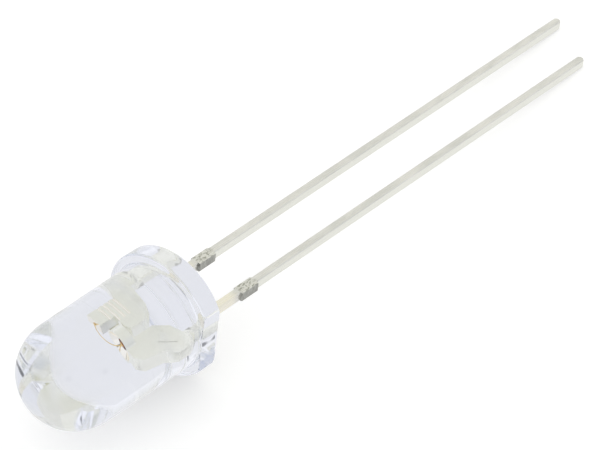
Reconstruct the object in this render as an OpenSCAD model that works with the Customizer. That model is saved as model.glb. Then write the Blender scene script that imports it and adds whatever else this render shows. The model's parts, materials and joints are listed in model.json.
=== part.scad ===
// Clear 5 mm through-hole LED, lying at rest on its flange's rim and the tips of its two leads.
// Every piece is drawn standing on its seat, with the leads down and the dome up: X runs from the
// anode to the cathode, Y through the thickness of the lead frame, and Z up the body's axis.
// lay_down() then lays it on the surface: +X from the leads to the dome, +Z up, cathode at +Y.

/* [Epoxy body] */
// Diameter of the barrel
body_d = 5; // [4.1:0.05:8]
// Height from the flange's base to the top of the dome
body_h = 8.7; // [7.2:0.05:12]
// How far the flange stands out from the barrel, all round
flange_step = 0.475; // [0.3:0.005:1]
// Thickness of the flange
flange_t = 1; // [0.6:0.05:1.5]
// How far the flange's cathode flat stands out from the barrel
flat_step = 0.05; // [0.02:0.01:0.2]
// Radius of the flange's two rounded edges
rim_r = 0.12; // [0.05:0.01:0.25]
// Radius of the fillet where the barrel meets the flange
neck_r = 0.15; // [0.05:0.01:0.25]

/* [Leads] */
// Distance between the centre lines of the two leads
pitch = 2.54; // [2.1:0.01:3.05]
// Thickness of the sheet that the lead frame is stamped from
sheet_t = 0.48; // [0.35:0.01:0.6]
// Width of a lead
lead_w = 0.38; // [0.3:0.01:0.6]
// Length of the anode lead below the flange's base
anode_len = 27.9; // [15:0.05:35]
// How much shorter the cathode lead is
cathode_cut = 1.45; // [0.8:0.05:3]
// Chamfer of a lead's cut end
tip_cut = 0.08; // [0.02:0.01:0.12]

/* [Tie-bar stubs] */
// Distance from the flange's base to the stubs
bar_drop = 2.55; // [1.5:0.05:5]
// Length of a stub along its lead
bar_len = 1.05; // [0.5:0.05:2]
// How far a stub stands out from its lead's edge on the anode's side
bar_anode = 0.06; // [0.02:0.01:0.4]
// How far a stub stands out from its lead's edge on the cathode's side
bar_cathode = 0.11; // [0.02:0.01:0.4]

/* [Lead frame inside the body] */
// How far the whole lead frame sits off the body's axis, towards the cathode
frame_shift = 0.1; // [0:0.01:0.15]
// Least epoxy between a wing's edge and the barrel's wall
wing_cover = 0.35; // [0.2:0.01:0.5]
// Height of the wings' lower corners
wing_low = 1.5; // [1.2:0.05:1.7]
// Height at which the anode wing's slope meets its post
post_shoulder = 2.75; // [2.6:0.01:3]
// Height at which the cathode wing's slope meets its anvil
anvil_shoulder = 2.85; // [2.7:0.01:3.1]
// Height of the window between the two leads
window_h = 1.7; // [1.3:0.01:1.9]
// Gap between the anode's flag and the cathode's anvil
frame_gap = 0.3; // [0.2:0.01:0.4]
// Gap between the anode and the reflector cup
post_gap = 0.16; // [0.12:0.01:0.25]
// Width of the post's head
post_w = 0.42; // [0.3:0.01:0.45]
// Height of the post's head above the flange's base
post_h = 4.35; // [4.1:0.01:4.6]
// How far the post's flag stops short of the axis
flag_x = 0.1; // [0.08:0.01:0.2]
// Width of the anvil at its shoulder, from its inner edge
anvil_w = 1.17; // [0.95:0.01:1.3]
// How much narrower the anvil is below its cut corner
anvil_taper = 0.2; // [0:0.01:0.3]

/* [Coined marks] */
// Number of lock grooves across the post
groove_count = 4; // [1:1:4]
// Height of the lowest lock groove above the post's shoulder
groove_low = 0.06; // [0:0.01:0.1]
// Distance between the lock grooves
groove_step = 0.3; // [0.2:0.01:0.33]
// Length of a lock groove from the post's outer edge
groove_len = 0.6; // [0.3:0.01:0.7]
// Radius of a lock groove's section
groove_r = 0.06; // [0.02:0.01:0.08]
// Length of the scored line on the anvil
score_len = 0.95; // [0.4:0.01:1]
// Width and depth of the scored line
score_w = 0.05; // [0.02:0.01:0.08]

/* [Reflector cup] */
// Outer diameter of the cup
cup_d = 1; // [0.95:0.01:1.35]
// Diameter of the cup's mouth
mouth_d = 0.88; // [0.8:0.01:0.92]
// Diameter of the cup's floor
floor_d = 0.5; // [0.45:0.01:0.6]
// Height of the cup's mouth above the flange's base
cup_top = 4.2; // [3.9:0.01:4.5]
// Depth of the cup's hollow
cup_depth = 0.38; // [0.3:0.01:0.5]
// Thickness of metal under the cup's floor
cup_web = 0.18; // [0.15:0.01:0.3]

/* [Chip and bond wire] */
// Side of the square chip
chip_w = 0.28; // [0.2:0.01:0.34]
// Height of the chip
chip_h = 0.24; // [0.15:0.01:0.3]
// Width of the step round the chip's upper layer
mesa_step = 0.02; // [0.01:0.005:0.03]
// Height of the chip's upper layer
mesa_h = 0.04; // [0.02:0.01:0.08]
// Thickness of the silver epoxy under the chip
attach_t = 0.03; // [0.02:0.005:0.06]
// Diameter of the bond wire
wire_d = 0.03; // [0.02:0.005:0.05]
// Height of the wire's arch above the straight line between its two bonds
loop_h = 0.34; // [0.2:0.01:0.5]
// Diameter of the ball bond on the chip and of the stitch bond on the post
bond_d = 0.1; // [0.08:0.01:0.14]
// Height of each bond
bond_h = 0.05; // [0.04:0.005:0.08]

/* [Hidden] */
$fn = 96;
past = 1; // how far a cutting shape runs past what it cuts

// body
body_r = body_d / 2;
flange_r = body_r + flange_step;
flat_x = body_r + flat_step;
dome_z = body_h - body_r;

// lead frame: distances from its own middle and heights above the flange's base
lead_in = pitch / 2 - lead_w / 2;
lead_out = pitch / 2 + lead_w / 2;
wing_x = body_r - wing_cover - frame_shift;
cathode_len = anode_len - cathode_cut;
anvil_in = frame_gap - flag_x;
anvil_out = anvil_in + anvil_w;
cup_low = cup_top - cup_depth - cup_web;
post_in = cup_d / 2 + post_gap;
post_out = post_in + post_w;
bend = 0.35; // size of the slanted corners where a lead turns in over the window
flag_h = cup_low - post_gap; // top of the post's flag, a gap below the cup
wing_fall = wing_x - lead_out; // the wings slope at 45 degrees
post_mid = -(post_in + post_out) / 2;
groove_z = post_shoulder + groove_low;
score_lean = 28; // angle of the scored line to the axis, in degrees
score_at = [lead_in + 0.1, window_h + 0.57]; // middle of the scored line

// chip and wire
chip_z = cup_top - cup_depth + attach_t;
chip_top = chip_z + chip_h;
wire_from = [0, chip_top + bond_h / 2];
wire_to = [post_mid, post_h + bond_h / 2];

// rest: the flange's rim and both lead tips touch the surface at once
tip_x = lead_w / 2 - tip_cut;
reach_x = pitch / 2 + tip_x; // from the lead frame's middle to a tip's far corner
skew = cathode_cut / pitch;
function side_cos(s) = sqrt(1 - s * s * (1 + skew * skew));
function rest_sine(s, steps) = steps == 0 ? s : rest_sine(
    ((flange_r - rim_r) * sqrt(1 - s * s) + rim_r - sheet_t / 2 * side_cos(s))
        / (cathode_len + skew * (reach_x + frame_shift) + rim_r), steps - 1);
rise = rest_sine(0, 12);
tilt = asin(rise);
roll = atan2(-skew * rise, side_cos(rise));
lift = (flange_r - rim_r) * cos(tilt) + rim_r * (1 - rise);

// bounds of the laid LED along X and Y, whose middle is the origin
tip_high = (reach_x - frame_shift) * sin(-roll) + sheet_t / 2 * cos(roll);
x_low = -anode_len * cos(tilt) - tip_high * rise;
x_high = dome_z * cos(tilt) + body_r;
y_high = flat_x * cos(roll) + sqrt(flange_r * flange_r - flat_x * flat_x) * sin(-roll);
y_low = -flange_r;

// Lays a piece that is drawn standing: rolled on to both tips, tipped over, and set on the surface
module lay_down() {
    translate([-(x_low + x_high) / 2, -(y_low + y_high) / 2, lift])
        rotate([0, -tilt, 0])
            rotate([90, 0, 90])
                rotate([0, 0, roll])
                    children();
}

// Moves what belongs to the lead frame from its own middle to its place in the body
module in_frame() {
    translate([frame_shift, 0, 0])
        children();
}

// An outline in X and Z, made as thick as the sheet
module stamped(outline) {
    rotate([90, 0, 0])
        linear_extrude(height = sheet_t, center = true)
            polygon(outline);
}

// Half of the body's section: barrel and dome, flange with rounded edges, and the neck's fillet
module body_section() {
    square([body_r, dome_z]);
    intersection() {
        translate([0, dome_z])
            circle(body_r);
        translate([0, dome_z])
            square(body_r + past);
    }
    square([flange_r - rim_r, flange_t]);
    translate([0, rim_r])
        square([flange_r, flange_t - 2 * rim_r]);
    for (z = [rim_r, flange_t - rim_r])
        translate([flange_r - rim_r, z])
            circle(rim_r);
    difference() {
        translate([0, flange_t / 2])
            square([body_r + neck_r, flange_t / 2 + neck_r]);
        translate([body_r + neck_r, flange_t + neck_r])
            circle(neck_r);
    }
}

// Epoxy cast round the lead frame: a turned form with the cathode flat cut on its flange
module body_form() {
    difference() {
        rotate_extrude()
            body_section();
        translate([flat_x, -flange_r - past, -past])
            cube([flange_step + past, 2 * (flange_r + past), flange_t + neck_r + past]);
    }
}

// One edge of a lead from its tip to the flange: side is -1 for the anode's side and 1 for the
// cathode's, and stub is how far the tie bar's stub stands out
function lead_edge(middle, side, stub, length) = [
    [middle + side * tip_x, -length],
    [middle + side * lead_w / 2, -length + tip_cut],
    [middle + side * lead_w / 2, -bar_drop - bar_len],
    [middle + side * (lead_w / 2 + stub), -bar_drop - bar_len],
    [middle + side * (lead_w / 2 + stub), -bar_drop],
    [middle + side * lead_w / 2, -bar_drop]
];

function reversed(points) = [for (i = [len(points) - 1:-1:0]) points[i]];

// Stamped outline of the anode: its outer edge up to the post, and back down by the flag
function anode_outline() = concat(
    lead_edge(-pitch / 2, -1, bar_anode, anode_len),
    [
        [-lead_out, wing_low - wing_fall],
        [-wing_x, wing_low],
        [-wing_x, post_shoulder - (wing_x - post_out)],
        [-post_out, post_shoulder],
        [-post_out, post_h],
        [-post_in, post_h],
        [-post_in, flag_h],
        [-flag_x - bend / 2, flag_h],
        [-flag_x, flag_h - bend / 2],
        [-flag_x, window_h + 2 * bend],
        [-flag_x - bend, window_h + bend / 2],
        [-lead_in, window_h]
    ],
    reversed(lead_edge(-pitch / 2, 1, bar_cathode, anode_len))
);

// Stamped outline of the cathode: its outer edge up to the anvil, and back down by the window
function cathode_outline() = concat(
    lead_edge(pitch / 2, 1, bar_cathode, cathode_len),
    [
        [lead_out, wing_low - wing_fall],
        [wing_x, wing_low],
        [wing_x, anvil_shoulder - (wing_x - anvil_out)],
        [anvil_out, anvil_shoulder],
        [anvil_out - anvil_taper, cup_top - bend],
        [anvil_out - anvil_taper - bend, cup_top],
        [0, cup_top],
        [0, cup_low],
        [anvil_in, cup_low - bend / 2],
        [anvil_in, window_h + 2 * bend],
        [anvil_in + bend, window_h],
        [lead_in, window_h - bend]
    ],
    reversed(lead_edge(pitch / 2, -1, bar_anode, cathode_len))
);

// Anode: lead, post and flag in one stamping, with half-round lock grooves across the post
module anode_form() {
    difference() {
        stamped(anode_outline());
        for (i = [0:groove_count - 1])
            translate([groove_len - post_out, sheet_t / 2, groove_z + i * groove_step])
                rotate([0, -90, 0])
                    cylinder(r = groove_r, h = groove_len + past);
    }
}

// Cathode: lead and anvil in one stamping, with the reflector cup coined in its top
module cathode_form() {
    difference() {
        union() {
            stamped(cathode_outline());
            translate([0, 0, cup_low])
                cylinder(d = cup_d, h = cup_top - cup_low);
        }
        translate([0, 0, cup_top - cup_depth])
            cylinder(d1 = floor_d, d2 = mouth_d, h = cup_depth);
        translate([0, 0, cup_top])
            cylinder(d = mouth_d, h = past);
        translate([score_at[0], sheet_t / 2, score_at[1]])
            rotate([0, -score_lean, 0])
                cube([score_w, 2 * score_w, score_len], center = true);
    }
}

// Silver epoxy that glues the chip to the cup's floor
module attach_form() {
    translate([0, 0, cup_top - cup_depth])
        cylinder(d = chip_w * sqrt(2), h = attach_t);
}

// Chip: a square block with a slightly smaller upper layer
module chip_form() {
    translate([-chip_w / 2, -chip_w / 2, chip_z])
        cube([chip_w, chip_w, chip_h - mesa_h]);
    mesa_w = chip_w - 2 * mesa_step;
    translate([-mesa_w / 2, -mesa_w / 2, chip_top - mesa_h])
        cube([mesa_w, mesa_w, mesa_h]);
}

// Gold wire: one arc from the ball bond on the chip to the stitch bond on the post
module wire_form() {
    span = norm(wire_to - wire_from);
    arc_r = (span * span / 4 + loop_h * loop_h) / (2 * loop_h);
    reach = asin(span / 2 / arc_r);
    slope = atan2(wire_to[1] - wire_from[1], wire_to[0] - wire_from[0]);
    middle = (wire_from + wire_to) / 2;
    sink = arc_r - loop_h; // from the straight line down to the arc's centre
    translate([middle[0], 0, middle[1]])
        rotate([90, 0, 0])
            rotate([0, 0, slope - 180])
                translate([0, -sink, 0])
                    rotate([0, 0, 90 - reach])
                        rotate_extrude(angle = 2 * reach)
                            translate([arc_r, 0])
                                circle(d = wire_d);
    translate([wire_from[0], 0, chip_top])
        cylinder(d = bond_d, h = bond_h);
    translate([wire_to[0], 0, post_h])
        cylinder(d = bond_d, h = bond_h);
}

module epoxy_body() {
    color("#e4e7f2", 0.35)
        lay_down()
            difference() {
                body_form();
                in_frame() {
                    cathode_form();
                    anode_form();
                    attach_form();
                    chip_form();
                    wire_form();
                }
            }
}

module cathode_lead() {
    color("#c9c9c2")
        lay_down()
            in_frame()
                cathode_form();
}

module anode_lead() {
    color("#d2d3cd")
        lay_down()
            in_frame()
                anode_form();
}

module die_attach() {
    color("#a8a9a4")
        lay_down()
            in_frame()
                attach_form();
}

module led_chip() {
    color("#b06a34")
        lay_down()
            in_frame()
                chip_form();
}

module bond_wire() {
    color("#d9b25a")
        lay_down()
            in_frame()
                wire_form();
}

epoxy_body();
cathode_lead();
anode_lead();
die_attach();
led_chip();
bond_wire();
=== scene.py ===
import json
import math

import bmesh
import bpy
from mathutils import Matrix, Vector


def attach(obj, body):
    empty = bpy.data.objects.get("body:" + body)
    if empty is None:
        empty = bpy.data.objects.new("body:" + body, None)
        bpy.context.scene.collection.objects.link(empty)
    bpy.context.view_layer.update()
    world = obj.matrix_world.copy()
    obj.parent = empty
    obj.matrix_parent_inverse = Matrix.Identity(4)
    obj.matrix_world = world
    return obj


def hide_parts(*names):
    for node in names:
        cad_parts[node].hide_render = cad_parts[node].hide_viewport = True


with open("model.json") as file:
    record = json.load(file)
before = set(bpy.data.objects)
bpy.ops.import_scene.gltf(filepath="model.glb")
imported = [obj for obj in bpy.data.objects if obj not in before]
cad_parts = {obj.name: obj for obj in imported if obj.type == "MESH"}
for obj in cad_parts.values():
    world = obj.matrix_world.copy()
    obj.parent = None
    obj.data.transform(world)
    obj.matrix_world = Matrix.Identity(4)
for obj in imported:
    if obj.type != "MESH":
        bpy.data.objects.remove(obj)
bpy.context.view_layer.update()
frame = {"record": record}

# ---------------------------------------------------------------------------------------------
# How the LED lies. It rests on its flange's rim and the cut tips of both leads, so its axis is
# tipped and it is rolled a little toward the longer lead. Each piece is shaped standing on its
# seat in millimetres, leads down and anode at -X, and lay() then puts it where the LED lies.
PITCH = 2.54
LEAD_WIDTH = 0.38
SHEET = 0.48
ANODE_LENGTH = 27.9
CATHODE_LENGTH = 26.45
FRAME_SHIFT = 0.1

mounts = {mount["name"]: mount for mount in frame["record"]["mounts"]}
axis = -Vector(mounts["seat"]["axis"]).normalized()
level = Vector((0, 1, 0))
skew = (ANODE_LENGTH - CATHODE_LENGTH) / PITCH
roll = -math.asin(skew * axis.z / math.sqrt(1 - axis.z ** 2))
above = axis.cross(level)
across = level * math.cos(roll) + above * math.sin(roll)
through = above * math.cos(roll) - level * math.sin(roll)
laid = Matrix((across, through, axis)).transposed().to_4x4()
laid.translation = Vector(mounts["seat"]["pos_m"])
standing_mm = laid @ Matrix.Scale(0.001, 4)


def lay(piece, sideways=0.0):
    piece.data.transform(Matrix.Translation((sideways, 0, 0)) @ piece.matrix_world)
    piece.data.transform(standing_mm)
    piece.matrix_world = Matrix.Identity(4)


# ---------------------------------------------------------------------------------------------
# The clear body. It is one casting of clear epoxy: a barrel with a domed lens, a neck fillet and
# a flange with rounded rims, cut flat on the cathode side. It was poured round the lead frame,
# so its base has sunk in a shallow dish as it cured.
BARREL_R = 2.4975
DRAFT = 0.04
DOME_Z = 6.2
NECK_R = 0.15
FLANGE_R = 2.972
FLANGE_T = 1.0
RIM_R = 0.12
FLAT_X = 2.55
ARC_STEPS = 6


def edit_new(name):
    bpy.context.object.name = name
    bpy.ops.object.mode_set(mode="EDIT")
    return bpy.context.object


def pick(kind, test):
    """Selects the vertices, edges or faces whose middle passes the test, and nothing else."""
    bpy.ops.mesh.select_all(action="DESELECT")
    bpy.ops.mesh.select_mode(type=kind)
    mesh = bpy.context.object.data
    form = bmesh.from_edit_mesh(mesh)
    where = {
        "VERT": (form.verts, lambda v: v.co),
        "EDGE": (form.edges, lambda e: (e.verts[0].co + e.verts[1].co) / 2),
        "FACE": (form.faces, lambda f: f.calc_center_median()),
    }
    elements, middle = where[kind]
    for element in elements:
        if test(middle(element), element):
            element.select_set(True)
    form.select_flush_mode()
    bmesh.update_edit_mesh(mesh)


def next_ring(ring, radius, z):
    """Extrudes the selected ring to a new radius and height on the body's axis."""
    old_radius, old_z = ring
    bpy.ops.mesh.extrude_region_move(TRANSFORM_OT_translate={"value": (0, 0, z - old_z)})
    size = radius / old_radius
    bpy.ops.transform.resize(value=(size, size, 1), center_override=(0, 0, z))
    return (radius, z)


bpy.ops.object.select_all(action="DESELECT")
bpy.ops.mesh.primitive_uv_sphere_add(segments=128, ring_count=64, radius=BARREL_R)
body = edit_new("clear_body")
bpy.ops.mesh.select_all(action="SELECT")
bpy.ops.transform.translate(value=(0, 0, DOME_Z))
bpy.ops.mesh.bisect(plane_co=(0, 0, DOME_Z), plane_no=(0, 0, 1), clear_inner=True)
pick("EDGE", lambda middle, edge: edge.is_boundary)
ring = (BARREL_R, DOME_Z)
neck_z = FLANGE_T + NECK_R
for step in range(1, 5):
    share = step / 4
    ring = next_ring(ring, BARREL_R + DRAFT * share, DOME_Z + (neck_z - DOME_Z) * share)
for step in range(1, ARC_STEPS + 1):
    turn = math.radians(90 * step / ARC_STEPS)
    ring = next_ring(ring, BARREL_R + DRAFT + NECK_R * (1 - math.cos(turn)), neck_z - NECK_R * math.sin(turn))
ring = next_ring(ring, FLANGE_R - RIM_R, FLANGE_T)
for middle_z, start in ((FLANGE_T - RIM_R, 90), (RIM_R, 0)):
    for step in range(1 if start else 0, ARC_STEPS + 1):
        turn = math.radians(start - 90 * step / ARC_STEPS)
        ring = next_ring(ring, FLANGE_R - RIM_R + RIM_R * math.cos(turn), middle_z + RIM_R * math.sin(turn))
for radius, z in ((2.3, 0.0), (2.1, 0.015), (1.5, 0.03), (0.6, 0.035)):
    ring = next_ring(ring, radius, z)
bpy.ops.mesh.edge_face_add()
bpy.ops.mesh.select_all(action="SELECT")
bpy.ops.mesh.bisect(plane_co=(FLAT_X, 0, 0), plane_no=(1, 0, 0), clear_outer=True, use_fill=True)
bpy.ops.mesh.select_all(action="SELECT")
bpy.ops.mesh.normals_make_consistent(inside=False)
pick("EDGE", lambda middle, edge: all(abs(v.co.x - FLAT_X) < 1e-4 for v in edge.verts))
bpy.ops.mesh.bevel(offset=0.04, segments=3)
bpy.ops.object.mode_set(mode="OBJECT")
bpy.ops.object.shade_smooth_by_angle(angle=math.radians(35))
lay(body)
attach(body, "root")
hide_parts("epoxy_body")


def linear(code):
    """An sRGB hex colour as the linear colour that sockets take."""
    parts = [int(code[i:i + 2], 16) / 255 for i in (1, 3, 5)]
    return (*(p / 12.92 if p <= 0.04045 else ((p + 0.055) / 1.055) ** 2.4 for p in parts), 1)


def node(tree, kind, settings=None, links=None):
    """Adds a node, with its properties and input values in settings and its sources in links."""
    new = tree.nodes.new(kind)
    for key, value in (settings or {}).items():
        if isinstance(key, str) and hasattr(new, key):
            setattr(new, key, value)
        else:
            new.inputs[key].default_value = value
    for key, source in (links or {}).items():
        tree.links.new(source, new.inputs[key])
    return new


def material(name):
    new = bpy.data.materials.new(name)
    new.use_nodes = True
    new.node_tree.nodes.clear()
    return new, new.node_tree


def dress(piece, finish):
    piece.data.materials.clear()
    piece.data.materials.append(finish)


# Clear cast epoxy: water clear and glossy from a polished mould, with a faint violet cast
epoxy, tree = material("cast_clear_epoxy")
shader = node(tree, "ShaderNodeBsdfPrincipled", {
    "Base Color": (0.87, 0.885, 0.945, 1), "Roughness": 0.0, "IOR": 1.53, "Transmission Weight": 1.0})
tint = node(tree, "ShaderNodeVolumeAbsorption", {"Color": (0.5, 0.6, 0.9, 1), "Density": 5.0})
node(tree, "ShaderNodeOutputMaterial", links={"Surface": shader.outputs[0], "Volume": tint.outputs[0]})
dress(body, epoxy)

# ---------------------------------------------------------------------------------------------
# The lead frame. Both leads are stamped from one steel sheet and silver plated; the anode ends
# in a post with lock grooves, the cathode in an anvil with the reflector cup coined in its top.
# The tie bar that joined them was sheared off, which leaves a stub on each edge of each lead.
LEAD_IN = (PITCH - LEAD_WIDTH) / 2
LEAD_OUT = (PITCH + LEAD_WIDTH) / 2
TIP_CUT = 0.08
BAR_DROP = 2.55
BAR_LENGTH = 1.05
STUB_ANODE_SIDE = 0.06
STUB_CATHODE_SIDE = 0.11
EASE = 0.02
WING_X = 2.05
CUP_R = 0.5
CUP_TOP = 4.2
CUP_LOW = 3.64
MOUTH_R = 0.44
FLOOR_R = 0.25
CUP_DEPTH = 0.38
POST_TOP = 4.35
POST_IN = 0.66
POST_OUT = 1.08
EDGE_ROLL = 0.055
BURR_T = 0.05
BURR_L = 0.08
SCORE_R = 0.027
SCORE_LENGTH = 0.95


def stamp(name, rows):
    """A flat stamping: an edge is extruded up through rows of (height, left, right)."""
    z, left, right = rows[0]
    bpy.ops.object.select_all(action="DESELECT")
    bpy.ops.mesh.primitive_plane_add(size=1)
    piece = edit_new(name)
    bpy.ops.mesh.delete(type="ONLY_FACE")
    pick("EDGE", lambda middle, edge: middle.y > 0.4)
    bpy.ops.mesh.select_all(action="INVERT")
    bpy.ops.mesh.delete(type="EDGE")
    bpy.ops.mesh.select_all(action="SELECT")
    bpy.ops.transform.translate(value=(0, -SHEET / 2 - 0.5, z))
    bpy.ops.transform.resize(value=(right - left, 1, 1), center_override=(0, 0, 0))
    bpy.ops.transform.translate(value=((left + right) / 2, 0, 0))
    for next_z, next_left, next_right in rows[1:]:
        bpy.ops.mesh.extrude_region_move(TRANSFORM_OT_translate={
            "value": ((next_left + next_right - left - right) / 2, 0, next_z - z)})
        bpy.ops.transform.resize(
            value=((next_right - next_left) / (right - left), 1, 1),
            center_override=((next_left + next_right) / 2, 0, 0))
        z, left, right = next_z, next_left, next_right
    bpy.ops.mesh.select_all(action="SELECT")
    bpy.ops.mesh.select_mode(type="FACE")
    bpy.ops.mesh.extrude_region_move(TRANSFORM_OT_translate={"value": (0, SHEET, 0)})
    bpy.ops.mesh.select_all(action="SELECT")
    bpy.ops.mesh.normals_make_consistent(inside=False)
    bpy.ops.object.mode_set(mode="OBJECT")
    return piece


def apply_modifier(piece, kind, **settings):
    bpy.context.view_layer.objects.active = piece
    modifier = piece.modifiers.new("step", kind)
    for key, value in settings.items():
        setattr(modifier, key, value)
    bpy.ops.object.modifier_apply(modifier=modifier.name)


def merge_doubles():
    """Merges vertices that lie within a micrometre and removes the faces that this collapses."""
    bpy.ops.mesh.select_all(action="SELECT")
    bpy.ops.mesh.remove_doubles(threshold=0.001)
    bpy.ops.mesh.dissolve_degenerate(threshold=0.001)


def combine(piece, tool, operation):
    """Joins the tool to the piece or cuts it from it, and then removes the tool."""
    bpy.ops.object.select_all(action="DESELECT")
    piece.select_set(True)
    apply_modifier(piece, "BOOLEAN", operation=operation, object=tool, solver="EXACT")
    bpy.data.objects.remove(tool)


def lead_rows(length, left, right):
    """The rows of a lead from its cut tip up past the stubs, between its left and right edges."""
    tip, low, high = -length, -BAR_DROP - BAR_LENGTH, -BAR_DROP
    return [
        (tip, left + TIP_CUT, right - TIP_CUT),
        (tip + TIP_CUT, left, right),
        (low, left, right),
        (low + EASE, left - STUB_ANODE_SIDE, right + STUB_CATHODE_SIDE),
        (high - EASE, left - STUB_ANODE_SIDE, right + STUB_CATHODE_SIDE),
        (high, left, right),
        (0.91, left, right),
    ]


anode = stamp("anode_lead_frame", lead_rows(ANODE_LENGTH - BURR_L, -LEAD_OUT, -LEAD_IN) + [
    (1.50, -WING_X, -LEAD_IN),
    (1.70 - EASE, -WING_X, -LEAD_IN),
    (1.70, -WING_X, -1.01),
    (1.78, -WING_X, -0.79),
    (1.875, -1.955, -0.45),
    (2.40, -1.43, -0.10),
    (2.75, -POST_OUT, -0.10),
    (3.305, -POST_OUT, -0.10),
    (3.48 - EASE, -POST_OUT, -0.275),
    (3.48, -POST_OUT, -POST_IN),
    (POST_TOP, -POST_OUT, -POST_IN),
])
cathode = stamp("cathode_lead_frame", lead_rows(CATHODE_LENGTH, LEAD_IN, LEAD_OUT) + [
    (1.35, LEAD_IN, 1.90),
    (1.50, 0.852, WING_X),
    (1.70, 0.55, WING_X),
    (2.17, 0.315, WING_X),
    (2.40, 0.20, 1.82),
    (2.85, 0.20, 1.37),
    (3.465, 0.20, 1.245),
    (CUP_LOW, 0.0, 1.21),
    (3.85, 0.0, 1.17),
    (CUP_TOP, 0.0, 0.82),
])
for i in range(4):
    bpy.ops.mesh.primitive_cylinder_add(
        vertices=16, radius=0.06, depth=1.0, rotation=(0, math.pi / 2, 0),
        location=(-POST_OUT + 0.1, SHEET / 2, 2.81 + 0.3 * i))
    combine(anode, bpy.context.object, "DIFFERENCE")
bpy.ops.mesh.primitive_cylinder_add(
    vertices=64, radius=CUP_R, depth=CUP_TOP - CUP_LOW, location=(0, 0, (CUP_TOP + CUP_LOW) / 2))
combine(cathode, bpy.context.object, "UNION")
cup_slope = (MOUTH_R - FLOOR_R) / CUP_DEPTH
bpy.ops.mesh.primitive_cone_add(
    vertices=64, radius1=FLOOR_R, radius2=MOUTH_R + cup_slope * 0.1, depth=CUP_DEPTH + 0.1,
    location=(0, 0, CUP_TOP - CUP_DEPTH + (CUP_DEPTH + 0.1) / 2))
combine(cathode, bpy.context.object, "DIFFERENCE")
for x, z, lean, length in ((1.105, 2.3, -32.0, SCORE_LENGTH),):
    bpy.ops.mesh.primitive_cylinder_add(
        vertices=12, radius=SCORE_R, depth=length, rotation=(0, math.radians(lean), 0), location=(x, SHEET / 2, z))
    combine(cathode, bpy.context.object, "DIFFERENCE")


# The faces of the anvil's score, painted dark steel as painted shade in the groove
def in_score(middle, face):
    return face.normal.y < 0.9 and 0.01 < SHEET / 2 - middle.y < SCORE_R and 0.8 < middle.x < 1.4 and 1.8 < middle.z < 2.8


def in_cup(middle, face):
    return math.hypot(middle.x, middle.y) < MOUTH_R and CUP_TOP - CUP_DEPTH - 0.01 < middle.z < CUP_TOP - 0.01


# The post's face across the narrow gap from the cup, which is painted greyer as painted shade
def in_gap(middle, face):
    return face.normal.x > 0.5 and -POST_IN - 0.01 < middle.x < -POST_IN + 0.01 and 3.5 < middle.z < POST_TOP - 0.03


def coined_flat(middle, face):
    in_groove = middle.x < -0.4 and 0.01 < SHEET / 2 - middle.y < 0.07 and 2.7 < middle.z < 3.9
    return in_groove or middle.z > POST_TOP - 0.02


# The leads' side faces below the stubs, which are painted lighter as painted light
def lit_lead_sides(middle, face):
    return abs(face.normal.x) > 0.8 and middle.z < -BAR_DROP - BAR_LENGTH + EASE


def sheared(middle, face):
    return (abs(face.normal.x) > 0.7 and abs(middle.z + BAR_DROP + BAR_LENGTH / 2) < BAR_LENGTH / 2 - EASE) or (
        face.normal.z > 0.5 and abs(middle.z + BAR_DROP) < 2 * EASE)


# The sheet's edges are rolled over along the leads, the cutter leaves a thin burr at each tip
for lead in (anode, cathode):
    bpy.ops.object.select_all(action="DESELECT")
    bpy.context.view_layer.objects.active = lead
    lead.select_set(True)
    bpy.ops.object.mode_set(mode="EDIT")
    tip = min(v.co.z for v in lead.data.vertices)
    pick("FACE", lambda middle, face: middle.z < tip + 1e-4)
    bpy.ops.mesh.bisect(plane_co=(0, BURR_T - SHEET / 2, 0), plane_no=(0, 1, 0))
    pick("FACE", lambda middle, face: middle.z < tip + 1e-4 and middle.y < BURR_T - SHEET / 2)
    bpy.ops.mesh.extrude_region_move(TRANSFORM_OT_translate={"value": (0, 0, -BURR_L)})
    bpy.ops.transform.resize(value=(0.8, 0.3, 1))
    pick("EDGE", lambda middle, edge: (
        abs(abs(middle.y) - SHEET / 2) < 1e-3 and tip + 0.01 < middle.z < 0.92
        and abs(edge.verts[0].co.z - edge.verts[1].co.z) > 1e-4))
    bpy.ops.mesh.bevel(offset=EDGE_ROLL, segments=4)
    merge_doubles()
    bpy.ops.object.mode_set(mode="OBJECT")
    apply_modifier(lead, "TRIANGULATE")
    bpy.ops.object.shade_smooth_by_angle(angle=math.radians(40))


def standing(tree, scale=(1, 1, 1)):
    """Object coordinates in millimetres with the LED stood on its seat, scaled for a pattern."""
    place = laid.inverted()
    where = node(tree, "ShaderNodeTexCoord")
    stood = node(tree, "ShaderNodeMapping", {
        "Location": place.translation * 1000, "Rotation": place.to_euler(), "Scale": (1000, 1000, 1000)},
        {"Vector": where.outputs["Object"]})
    return node(tree, "ShaderNodeVectorMath", {"operation": "MULTIPLY", 1: scale}, {0: stood.outputs[0]}).outputs[0]


def blend(tree, share, low, high):
    """Mixes two colours, each given as a hex code or as another node's output."""
    settings = {6 + i: linear(c) for i, c in enumerate((low, high)) if isinstance(c, str)}
    links = {6 + i: c for i, c in enumerate((low, high)) if not isinstance(c, str)}
    return node(tree, "ShaderNodeMix", {"data_type": "RGBA", **settings}, {0: share, **links}).outputs[2]


def ramp(tree, value, low, high, to_low=0.0, to_high=1.0):
    """Follows a value smoothly from one number to another."""
    return node(tree, "ShaderNodeMapRange", {
        "interpolation_type": "SMOOTHSTEP", "From Min": low, "From Max": high,
        "To Min": to_low, "To Max": to_high}, {"Value": value}).outputs[0]


def times(tree, first, second):
    return node(tree, "ShaderNodeMath", {"operation": "MULTIPLY"}, {0: first, 1: second}).outputs[0]


def noise(tree, scale, detail=3.0, roughness=0.6):
    return node(tree, "ShaderNodeTexNoise", {"Scale": 1.0, "Detail": detail, "Roughness": roughness}, {
        "Vector": standing(tree, scale)}).outputs[0]


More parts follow.
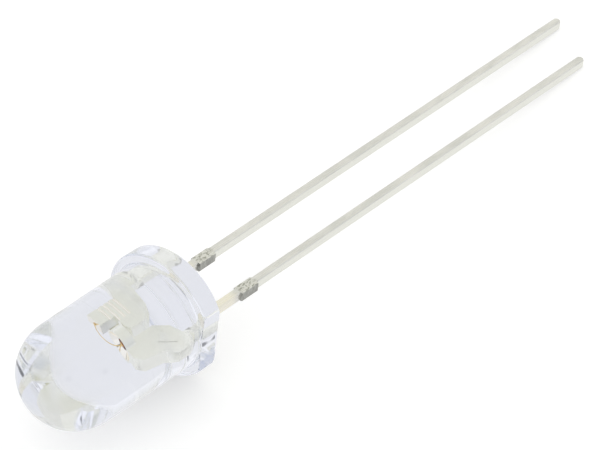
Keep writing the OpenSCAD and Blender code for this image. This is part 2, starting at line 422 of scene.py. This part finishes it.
# Silver-plated steel: rolled grain runs along the leads and softens what the plating mirrors,
# blotches of handling and tarnish dull it outside the epoxy, inside it keeps its pale warm white
silver, tree = material("silver_plated_steel")
place = node(tree, "ShaderNodeSeparateXYZ", links={0: standing(tree)})
outside = ramp(tree, place.outputs["Z"], 0.1, -0.3)
grain = noise(tree, (15, 15, 0.6))
blotch = noise(tree, (2.2, 2.2, 0.8), 4.0)
clean = blend(tree, blotch, "#fffff5", "#f9f8ec")
handled = blend(tree, ramp(tree, blotch, 0.3, 0.7), "#ebeae6", "#dcdcd8")
# Flux and epoxy creep leave a cream film between the flange and the stubs
film = times(tree, outside, ramp(tree, place.outputs["Z"], -BAR_DROP, -BAR_DROP + 0.6))
handled = blend(tree, film, handled, "#f6f2e4")
# The shear's die has scuffed the plating over the stubs, down to dark steel in places
scuffed = times(tree, ramp(tree, place.outputs["Z"], -BAR_DROP + 0.03, -BAR_DROP - 0.12), ramp(
    tree, place.outputs["Z"], -BAR_DROP - BAR_LENGTH - 0.15, -BAR_DROP - BAR_LENGTH + 0.1))
pits = ramp(tree, noise(tree, (9, 9, 4.5), 5.0, 0.75), 0.47, 0.58)
scuff = blend(tree, pits, "#e4e4de", "#a6a69c")
handled = blend(tree, scuffed, handled, scuff)
plating = blend(tree, outside, clean, handled)
rough_in = ramp(tree, grain, 0.3, 0.7, 0.20, 0.26)
rough_out = ramp(tree, grain, 0.3, 0.7, 0.22, 0.38)
rough = node(tree, "ShaderNodeMix", {"data_type": "FLOAT"}, {0: outside, 2: rough_in, 3: rough_out}).outputs[0]
lines = times(tree, outside, grain)
rolled = node(tree, "ShaderNodeBump", {"Strength": 0.3, "Distance": 4e-6}, {"Height": lines})
shader = node(tree, "ShaderNodeBsdfPrincipled", {"Metallic": 1.0}, {
    "Base Color": plating, "Roughness": rough, "Normal": rolled.outputs[0]})
node(tree, "ShaderNodeOutputMaterial", links={"Surface": shader.outputs[0]})

# Bare steel where the tie bar was sheared: dark, with tear lines across it. The anvil's score groove takes it too, as
# painted shade in the groove
torn_steel_and_score_shade, tree = material("sheared_steel_and_score_shade")
tear = noise(tree, (4, 2.5, 16), 4.0, 0.7)
colour = blend(tree, ramp(tree, tear, 0.35, 0.65), "#a2a29d", "#c6c6c0")
torn = node(tree, "ShaderNodeBump", {"Strength": 0.6, "Distance": 1e-5}, {"Height": tear})
shader = node(tree, "ShaderNodeBsdfPrincipled", {"Metallic": 1.0, "Roughness": 0.5}, {
    "Base Color": colour, "Normal": torn.outputs[0]})
node(tree, "ShaderNodeOutputMaterial", links={"Surface": shader.outputs[0]})

# Painted light: below the stubs the leads' side faces are painted paler than the sheet's faces, a lit side put into
# the plating
lit_side_plating, tree = material("painted_light_lead_sides")
streaks = noise(tree, (14, 14, 0.8))
shader = node(tree, "ShaderNodeBsdfPrincipled", {"Metallic": 1.0}, {
    "Base Color": blend(tree, streaks, "#f4f4ec", "#eeeee5"), "Roughness": ramp(tree, streaks, 0.3, 0.7, 0.16, 0.28)})
node(tree, "ShaderNodeOutputMaterial", links={"Surface": shader.outputs[0]})

# Between the leads the sheet's punched edges are rougher than the plating, and the post's face toward the cup is
# painted greyer towards the top as painted shade in the narrow gap
punched_and_gap_shade, tree = material("punched_edge_and_gap_shade")
drag = noise(tree, (14, 1.5, 14))
up = node(tree, "ShaderNodeSeparateXYZ", links={0: standing(tree)}).outputs["Z"]
shader = node(tree, "ShaderNodeBsdfPrincipled", {"Metallic": 1.0, "Roughness": 0.35}, {
    "Base Color": blend(tree, ramp(tree, up, 3.6, 4.15), "#f4f4ea", blend(tree, drag, "#dfdfd9", "#f0f0ea"))})
node(tree, "ShaderNodeOutputMaterial", links={"Surface": shader.outputs[0]})

# The cup was coined with a polished punch, so its plating is a mirror with faint turning marks
coined, tree = material("coined_silver")
swirl = noise(tree, (3, 3, 24))
shader = node(tree, "ShaderNodeBsdfPrincipled", {"Metallic": 1.0}, {
    "Base Color": blend(tree, swirl, "#fffdf5", "#faf4e6"), "Roughness": ramp(tree, swirl, 0.3, 0.7, 0.03, 0.08)})
node(tree, "ShaderNodeOutputMaterial", links={"Surface": shader.outputs[0]})

# The side faces take painted light, the score groove and the post's face in the gap take painted shade
for lead in (anode, cathode):
    dress(lead, silver)
    for index, (finish, belongs) in enumerate((
            (lit_side_plating, lit_lead_sides), (torn_steel_and_score_shade, sheared), (torn_steel_and_score_shade, in_score), (punched_and_gap_shade, in_gap), (coined, in_cup), (coined, coined_flat)), 1):
        lead.data.materials.append(finish)
        bpy.ops.object.select_all(action="DESELECT")
        bpy.context.view_layer.objects.active = lead
        lead.select_set(True)
        bpy.ops.object.mode_set(mode="EDIT")
        pick("FACE", belongs)
        lead.active_material_index = index
        bpy.ops.object.material_slot_assign()
        bpy.ops.object.mode_set(mode="OBJECT")
    lay(lead, FRAME_SHIFT)
    apply_modifier(lead, "WEIGHTED_NORMAL", keep_sharp=True)
    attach(lead, "root")
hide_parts("anode_lead")
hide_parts("cathode_lead")

# ---------------------------------------------------------------------------------------------
# The silver epoxy under the chip. A dot of silver-filled glue squeezed out by the chip, which
# wets the chip's foot in a low fillet and cures dull tan with a glitter of silver flakes.
CUP_FLOOR = CUP_TOP - CUP_DEPTH
GLUE_R = 0.2
GLUE_T = 0.03
FOOT_R = 0.17
bpy.ops.object.select_all(action="DESELECT")
bpy.ops.mesh.primitive_cylinder_add(vertices=48, radius=GLUE_R, depth=GLUE_T, location=(0, 0, CUP_FLOOR + GLUE_T / 2))
glue = edit_new("silver_epoxy_dot")
pick("FACE", lambda middle, face: face.normal.z > 0.9)
bpy.ops.transform.resize(value=(FOOT_R / GLUE_R, FOOT_R / GLUE_R, 1))
bpy.ops.mesh.inset(thickness=0.02)
bpy.ops.mesh.select_all(action="DESELECT")
bpy.ops.object.mode_set(mode="OBJECT")
apply_modifier(glue, "BEVEL", width=0.006, segments=2, limit_method="ANGLE", angle_limit=math.radians(35))
bpy.ops.object.shade_smooth_by_angle(angle=math.radians(50))
lay(glue, FRAME_SHIFT)
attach(glue, "root")
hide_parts("die_attach")

# Silver-filled epoxy: dull tan binder with bright flakes lying in it
paste, tree = material("silver_epoxy")
flakes = ramp(tree, noise(tree, (60, 60, 60), 2.0), 0.55, 0.62)
shader = node(tree, "ShaderNodeBsdfPrincipled", {}, {
    "Base Color": blend(tree, flakes, "#c98f58", "#e8dcc4"), "Roughness": ramp(tree, flakes, 0, 1, 0.6, 0.3),
    "Metallic": ramp(tree, flakes, 0, 1, 0.1, 0.9)})
node(tree, "ShaderNodeOutputMaterial", links={"Surface": shader.outputs[0]})
dress(glue, paste)

# ---------------------------------------------------------------------------------------------
# The chip. A sawn cube of semiconductor glued in the cup, with a slightly narrower grown layer
# on top and a round gold pad in the middle of it; its sides keep the saw's fine marks.
CHIP = 0.28
CHIP_H = 0.24
MESA_STEP = 0.02
MESA_H = 0.04
CHIP_LOW = CUP_FLOOR + GLUE_T
CHIP_TOP = CHIP_LOW + CHIP_H
bpy.ops.object.select_all(action="DESELECT")
bpy.ops.mesh.primitive_cube_add(size=1, location=(0, 0, CHIP_LOW + (CHIP_H - MESA_H) / 2), scale=(CHIP, CHIP, CHIP_H - MESA_H))
bpy.ops.object.transform_apply(location=True, rotation=False, scale=True)
chip = edit_new("led_die")
pick("FACE", lambda middle, face: face.normal.z > 0.9)
bpy.ops.mesh.inset(thickness=MESA_STEP)
bpy.ops.mesh.extrude_region_move(TRANSFORM_OT_translate={"value": (0, 0, MESA_H)})
bpy.ops.object.mode_set(mode="OBJECT")
apply_modifier(chip, "BEVEL", width=0.005, segments=2, limit_method="ANGLE", angle_limit=math.radians(35))
bpy.ops.object.shade_smooth_by_angle(angle=math.radians(40))
lay(chip, FRAME_SHIFT)
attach(chip, "root")
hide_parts("led_chip")

# Semiconductor crystal: near black sawn sides, a glossy red-brown top and a gold pad on it
crystal, tree = material("semiconductor_crystal")
place = node(tree, "ShaderNodeSeparateXYZ", links={0: standing(tree)})
from_middle = node(tree, "ShaderNodeVectorMath", {"operation": "DISTANCE", 1: (FRAME_SHIFT, 0, CHIP_TOP)}, {
    0: standing(tree)}).outputs["Value"]
pad = ramp(tree, from_middle, 0.075, 0.07)
top = ramp(tree, place.outputs["Z"], CHIP_TOP - MESA_H, CHIP_TOP - MESA_H + 0.004)
saw = noise(tree, (6, 6, 70), 2.0)
sides = blend(tree, saw, "#1d130f", "#3a2418")
colour = blend(tree, pad, blend(tree, top, sides, "#7a3c1c"), "#e8b45c")
shader = node(tree, "ShaderNodeBsdfPrincipled", {}, {
    "Base Color": colour, "Metallic": pad, "Roughness": ramp(tree, top, 0, 1, 0.45, 0.2)})
node(tree, "ShaderNodeOutputMaterial", links={"Surface": shader.outputs[0]})
dress(chip, crystal)

# ---------------------------------------------------------------------------------------------
# The bond wire. Hair-thin gold wire drawn in one loop from a squashed ball on the chip's pad to
# a flattened stitch on the anode's post, both welded by ultrasound.
WIRE_R = 0.015
LOOP_H = 0.34
BALL_R = 0.05
BOND_H = 0.05
POST_MID = -(POST_IN + POST_OUT) / 2
start = Vector((0, 0, CHIP_TOP + BOND_H / 2))
end = Vector((POST_MID, 0, POST_TOP + BOND_H / 2))
span = end - start
arch_r = (span.length_squared / 4 + LOOP_H ** 2) / (2 * LOOP_H)
middle = (start + end) / 2 - Vector((span.z, 0, -span.x)).normalized() * (arch_r - LOOP_H)
spoke = start - middle
turn = 2 * math.asin(span.length / 2 / arch_r)
bpy.ops.object.select_all(action="DESELECT")
bpy.ops.mesh.primitive_circle_add(
    vertices=12, radius=WIRE_R, fill_type="NGON", location=start, rotation=(0, -math.atan2(spoke.z, spoke.x), 0))
bpy.ops.object.transform_apply(location=True, rotation=True, scale=False)
wire = edit_new("gold_bond_wire")
bpy.ops.mesh.select_all(action="SELECT")
bpy.ops.mesh.spin(steps=40, angle=turn, center=middle, axis=(0, 1, 0))
pick("EDGE", lambda middle, edge: edge.is_boundary)
bpy.ops.mesh.edge_face_add()
bpy.ops.mesh.select_all(action="SELECT")
bpy.ops.mesh.normals_make_consistent(inside=False)
bpy.ops.object.mode_set(mode="OBJECT")
for spot, height in ((start, BOND_H), (end, BOND_H * 0.7)):
    bpy.ops.mesh.primitive_uv_sphere_add(
        segments=32, ring_count=16, radius=1, scale=(BALL_R, BALL_R, height / 2),
        location=(spot.x, 0, spot.z - (BOND_H - height) / 2))
    combine(wire, bpy.context.object, "UNION")
bpy.ops.object.select_all(action="DESELECT")
wire.select_set(True)
bpy.context.view_layer.objects.active = wire
bpy.ops.object.mode_set(mode="EDIT")
merge_doubles()
bpy.ops.object.mode_set(mode="OBJECT")
bpy.ops.object.shade_smooth_by_angle(angle=math.radians(60))
lay(wire, FRAME_SHIFT)
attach(wire, "root")
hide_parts("bond_wire")

# Pure gold wire: soft bright gold, its drawn surface slightly uneven
gold, tree = material("bond_gold")
drawn = noise(tree, (40, 40, 40), 2.0)
shader = node(tree, "ShaderNodeBsdfPrincipled", {"Metallic": 1.0}, {
    "Base Color": blend(tree, drawn, "#f5dda2", "#e8c888"), "Roughness": ramp(tree, drawn, 0.3, 0.7, 0.15, 0.3)})
node(tree, "ShaderNodeOutputMaterial", links={"Surface": shader.outputs[0]})
dress(wire, gold)

# ---------------------------------------------------------------------------------------------
# The floor, the light and the camera
bpy.ops.object.select_all(action="DESELECT")
bpy.ops.mesh.primitive_plane_add(size=2.0)
floor = bpy.context.object
floor.name = "floor"
paper, tree = material("white_paper")
diffuse = node(tree, "ShaderNodeBsdfDiffuse", {"Color": (0.86, 0.86, 0.86, 1)})
rays = node(tree, "ShaderNodeLightPath")
lift = node(tree, "ShaderNodeMath", {"operation": "MULTIPLY", 1: 0.3}, {0: rays.outputs["Is Camera Ray"]})
glow = node(tree, "ShaderNodeEmission", {"Color": (1, 1, 1, 1)}, {"Strength": lift.outputs[0]})
seen = node(tree, "ShaderNodeAddShader", links={0: diffuse.outputs[0], 1: glow.outputs[0]})
mirrored = node(tree, "ShaderNodeMath", {"operation": "MAXIMUM"}, {
    0: rays.outputs["Is Glossy Ray"], 1: rays.outputs["Is Transmission Ray"]})
share = node(tree, "ShaderNodeMath", {"operation": "MULTIPLY", 1: 0.9}, {0: mirrored.outputs[0]})
white = node(tree, "ShaderNodeEmission", {"Color": (1, 1, 1, 1), "Strength": 0.93})
sheet = node(tree, "ShaderNodeMixShader", links={0: share.outputs[0], 1: seen.outputs[0], 2: white.outputs[0]})
node(tree, "ShaderNodeOutputMaterial", links={"Surface": sheet.outputs[0]})
dress(floor, paper)

world = bpy.data.worlds.new("studio")
bpy.context.scene.world = world
world.use_nodes = True
tree = world.node_tree
tree.nodes.clear()


def heading(azimuth, elevation):
    azimuth, elevation = math.radians(azimuth), math.radians(elevation)
    return Vector((
        math.cos(elevation) * math.cos(azimuth), math.cos(elevation) * math.sin(azimuth), math.sin(elevation)))


def patch(azimuth, elevation, inner, outer):
    """A round patch of sky: 1 out to the inner angle and 0 beyond the outer one."""
    near = node(tree, "ShaderNodeVectorMath", {"operation": "DOT_PRODUCT", 1: heading(azimuth, elevation)}, {
        0: sky.outputs["Generated"]})
    return node(tree, "ShaderNodeMapRange", {
        "interpolation_type": "SMOOTHSTEP",
        "From Min": math.cos(math.radians(outer)), "From Max": math.cos(math.radians(inner))}, {
        "Value": near.outputs["Value"]}).outputs[0]


sky = node(tree, "ShaderNodeTexCoord")
wall = node(tree, "ShaderNodeMix", {"data_type": "RGBA", 6: (1.04, 1.04, 1.04, 1), 7: (0.84, 0.85, 0.86, 1)}, {
    0: patch(140, 28, 20, 48)})
wall = node(tree, "ShaderNodeMix", {"data_type": "RGBA", 7: (0.88, 0.88, 0.83, 1)}, {
    0: patch(206, 44, 14, 55), 6: wall.outputs[2]})
# Black cards stand beside the camera's view, as they do for glass, and draw the few dark edges
flags = None
for azimuth, elevation, inner, outer, depth in (
        (116, 18, 3.5, 7, 1.0), (308, 5, 3.0, 5.5, 0.85), (300, 32, 2.5, 6, 0.85), (33, 34, 3.5, 7.5, 0.85)):
    card = node(tree, "ShaderNodeMath", {"operation": "MULTIPLY", 1: depth}, {
        0: patch(azimuth, elevation, inner, outer)}).outputs[0]
    flags = card if flags is None else node(tree, "ShaderNodeMath", {"operation": "MAXIMUM"}, {0: flags, 1: card}).outputs[0]
lit = node(tree, "ShaderNodeMix", {"data_type": "RGBA", 7: (0.05, 0.055, 0.08, 1)}, {0: flags, 6: wall.outputs[2]})
back = node(tree, "ShaderNodeBackground", {"Strength": 1.0}, {"Color": lit.outputs[2]})
node(tree, "ShaderNodeOutputWorld", links={"Surface": back.outputs[0]})

ELEVATION = math.radians(44.03)
AZIMUTH = math.radians(42.33)
CAMERA_ROLL = math.radians(-0.635)
AIM = Vector((0.001905, 0.000603, 0.0025))
DISTANCE = 0.18417
toward = Vector((
    math.cos(ELEVATION) * math.cos(AZIMUTH), math.cos(ELEVATION) * math.sin(AZIMUTH), math.sin(ELEVATION)))
lens = bpy.data.cameras.new("camera")
lens.lens = 249.92
lens.sensor_width = 36
lens.clip_start = 0.01
camera = bpy.data.objects.new("camera", lens)
bpy.context.scene.collection.objects.link(camera)
camera.matrix_world = (
    Matrix.Translation(AIM + toward * DISTANCE)
    @ (-toward).to_track_quat("-Z", "Y").to_matrix().to_4x4()
    @ Matrix.Rotation(CAMERA_ROLL, 4, "Z"))
bpy.context.scene.camera = camera
bpy.context.scene.view_settings.view_transform = "Standard"

# Light is reflected many times inside the clear body before it leaves it
paths = bpy.context.scene.cycles
paths.max_bounces = 200
paths.glossy_bounces = 200
paths.transmission_bounces = 200
